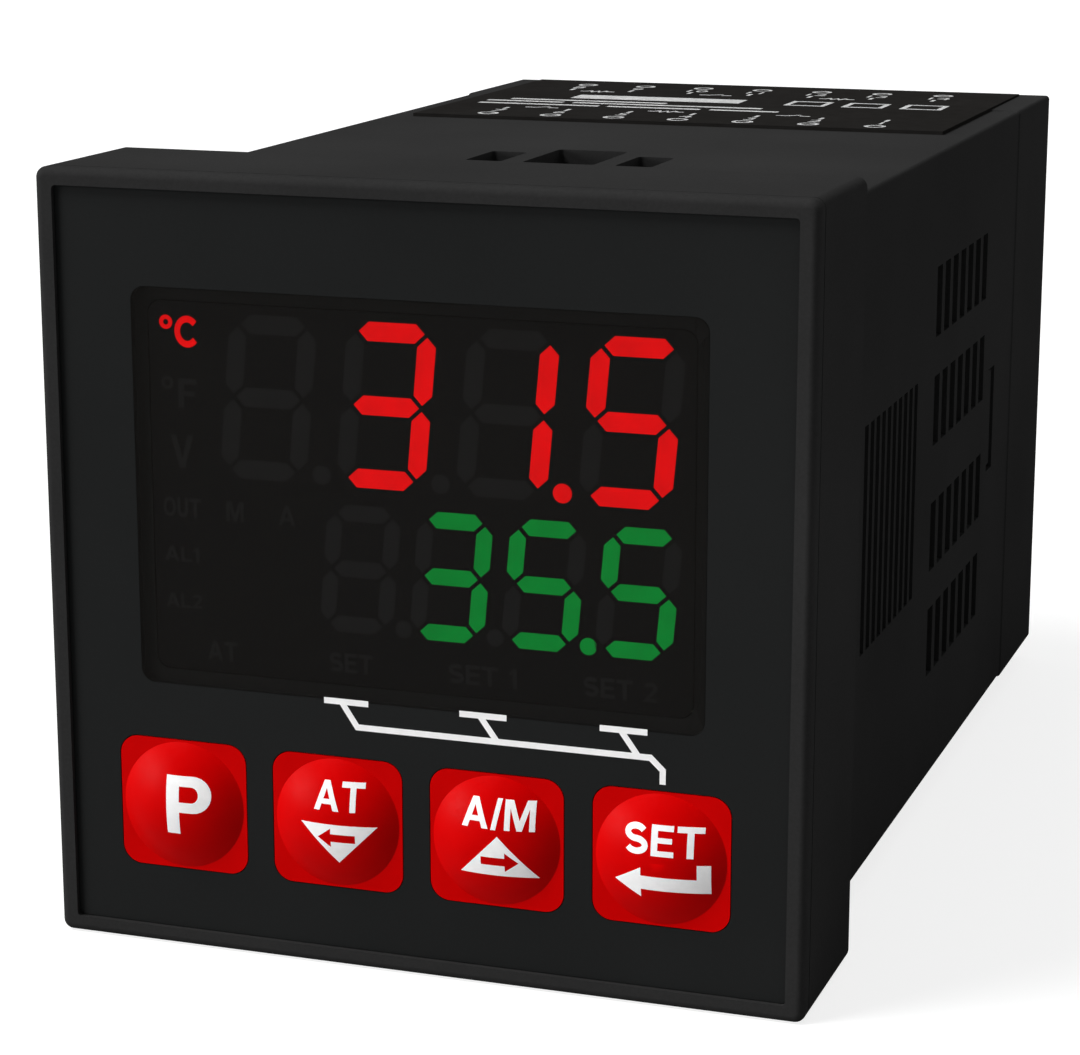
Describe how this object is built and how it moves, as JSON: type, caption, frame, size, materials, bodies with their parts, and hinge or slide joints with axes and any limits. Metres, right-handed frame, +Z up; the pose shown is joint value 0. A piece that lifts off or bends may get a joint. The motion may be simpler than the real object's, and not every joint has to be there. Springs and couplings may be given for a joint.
{
  "type": "pid temperature controller",
  "caption": "Square panel-mount temperature controller with a two-line digit display, a row of domed keys, a vented housing and rear screw terminals.",
  "frame": {"origin": "centre of the panel seat, the plane of the flange's back", "axes": "+X to the right seen from the front, +Y to the rear through the panel, +Z up"},
  "size_m": [0.048, 0.0828, 0.048],
  "materials": {
    "housing_plastic": "fine grained dark charcoal moulding",
    "overlay_film": "satin dark grey film",
    "window_tint": "smoked window",
    "display_black": "matt black",
    "red_segments": "diffusing red resin",
    "green_segments": "diffusing green resin",
    "key_red": "glossy red",
    "plunger_plastic": "moulded",
    "switch_body": "moulded",
    "board_green": "solder resist",
    "black_plastic": "moulded",
    "ferrite": "sintered",
    "winding_tape": "polyester tape",
    "relay_case": "moulded",
    "can_metal": "sleeved can",
    "terminal_plastic": "moulded",
    "plated_brass": "nickel plated",
    "plated_steel": "zinc plated",
    "label_film": "printed polyester"
  },
  "bodies": {
    "case": {"alarm_relay": "relay_case", "control_board": "board_green", "controller_chip": "black_plastic", "display_board": "board_green", "display_module": "display_black", "display_window": "window_tint", "front_bezel": "housing_plastic", "front_overlay": "overlay_film", "green_digits": "green_segments", "header_left": "black_plastic", "header_right": "black_plastic", "housing": "housing_plastic", "input_capacitor": "can_metal", "output_capacitor": "can_metal", "output_relay": "relay_case", "power_board": "board_green", "rear_cover": "housing_plastic", "red_digits": "red_segments", "switch_base_down": "switch_body", "switch_base_program": "switch_body", "switch_base_set": "switch_body", "switch_base_up": "switch_body", "terminal_block_bottom": "terminal_plastic", "terminal_block_top": "terminal_plastic", "terminal_board": "board_green", "terminal_clamps": "plated_brass", "terminal_screws": "plated_steel", "transformer_core": "ferrite", "transformer_winding": "winding_tape", "wiring_label": "label_film"},
    "program_key": {"key_program": "key_red", "switch_plunger_program": "plunger_plastic"},
    "down_key": {"key_down": "key_red", "switch_plunger_down": "plunger_plastic"},
    "up_key": {"key_up": "key_red", "switch_plunger_up": "plunger_plastic"},
    "set_key": {"key_set": "key_red", "switch_plunger_set": "plunger_plastic"}
  },
  "joints": [
    {"name": "program_key_press", "type": "slide", "parent": "case", "child": "program_key", "axis": [0, 1, 0], "range_m": [0, 0.0004], "stiffness_N_per_m": 1500, "springref_m": -0.0005},
    {"name": "down_key_press", "type": "slide", "parent": "case", "child": "down_key", "axis": [0, 1, 0], "range_m": [0, 0.0004], "stiffness_N_per_m": 1500, "springref_m": -0.0005},
    {"name": "up_key_press", "type": "slide", "parent": "case", "child": "up_key", "axis": [0, 1, 0], "range_m": [0, 0.0004], "stiffness_N_per_m": 1500, "springref_m": -0.0005},
    {"name": "set_key_press", "type": "slide", "parent": "case", "child": "set_key", "axis": [0, 1, 0], "range_m": [0, 0.0004], "stiffness_N_per_m": 1500, "springref_m": -0.0005}
  ]
}
